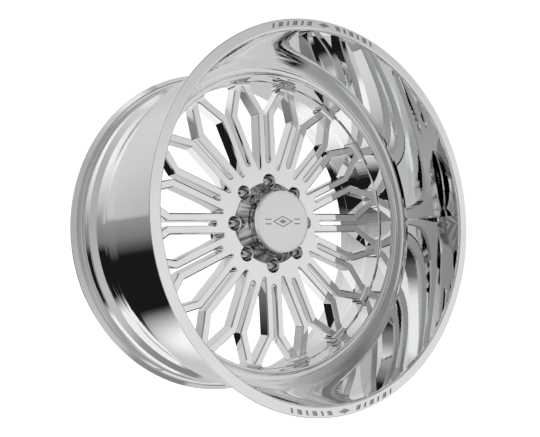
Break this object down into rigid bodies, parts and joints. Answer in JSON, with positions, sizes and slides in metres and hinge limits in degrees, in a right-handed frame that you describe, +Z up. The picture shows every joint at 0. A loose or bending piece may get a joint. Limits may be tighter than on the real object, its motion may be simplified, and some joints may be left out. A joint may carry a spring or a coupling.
{
  "type": "truck wheel rim",
  "caption": "Deep-dish polished forged wheel with a spoked flat-face disc, two-part rim, flared centre cap and a clamp-in tyre valve.",
  "frame": {"origin": "centre of the wheel's bounding box, on the axle line midway between the two flange faces", "axes": "+Y along the axle towards the vehicle, so the dished street side faces -Y; +Z up; the tyre valve is at the bottom, behind the disc"},
  "size_m": [0.6949, 0.379, 0.695],
  "materials": {
    "polished_aluminium": "mirror polished",
    "satin_aluminium": "fine brushed and clear coated",
    "steel": "zinc plated",
    "plated_steel": "bright plated",
    "dark_steel": "oiled",
    "brass": "turned",
    "rubber": "moulded"
  },
  "bodies": {
    "wheel": {"centre_disc": "polished_aluminium", "outer_rim_half": "polished_aluminium", "inner_rim_half": "polished_aluminium", "rim_seal_ring": "rubber", "assembly_bolts": "steel", "assembly_washers": "steel", "rim_thread_inserts": "dark_steel", "valve_stem": "plated_steel", "valve_grommet": "rubber", "valve_washer": "plated_steel", "valve_nut": "plated_steel", "valve_core_body": "brass", "valve_core_spring": "steel"},
    "centre_cap": {"cap_body": "polished_aluminium", "cap_face_plate": "satin_aluminium", "cap_plate_screws": "steel", "cap_retaining_ring": "dark_steel", "cap_o_ring": "rubber"},
    "core_plunger": {"valve_core_pin": "brass", "valve_core_seal": "rubber"},
    "cap_lift": {"valve_cap_seal": "rubber"},
    "dust_cap": {"valve_cap": "plated_steel"}
  },
  "joints": [
    {"name": "cap_pull", "type": "slide", "parent": "wheel", "child": "centre_cap", "axis": [0, -1, 0], "range_m": [0, 0.06]},
    {"name": "core_press", "type": "slide", "parent": "wheel", "child": "core_plunger", "axis": [0, 0, -1], "range_m": [0, 0.0012], "stiffness_N_per_m": 250, "deforming": ["valve_core_spring"]},
    {"name": "dust_cap_rise", "type": "slide", "parent": "wheel", "child": "cap_lift", "axis": [0, 0, 1], "range_m": [0, 0.00873]},
    {"name": "dust_cap_turn", "type": "hinge", "parent": "cap_lift", "child": "dust_cap", "pos_m": [0, 0.0535, -0.29], "axis": [0, 0, 1], "range_deg": [0, 3960]}
  ],
  "couplings": [
    {"joint": "dust_cap_turn", "follows": "dust_cap_rise", "rad_per_m": 7915.8}
  ]
}
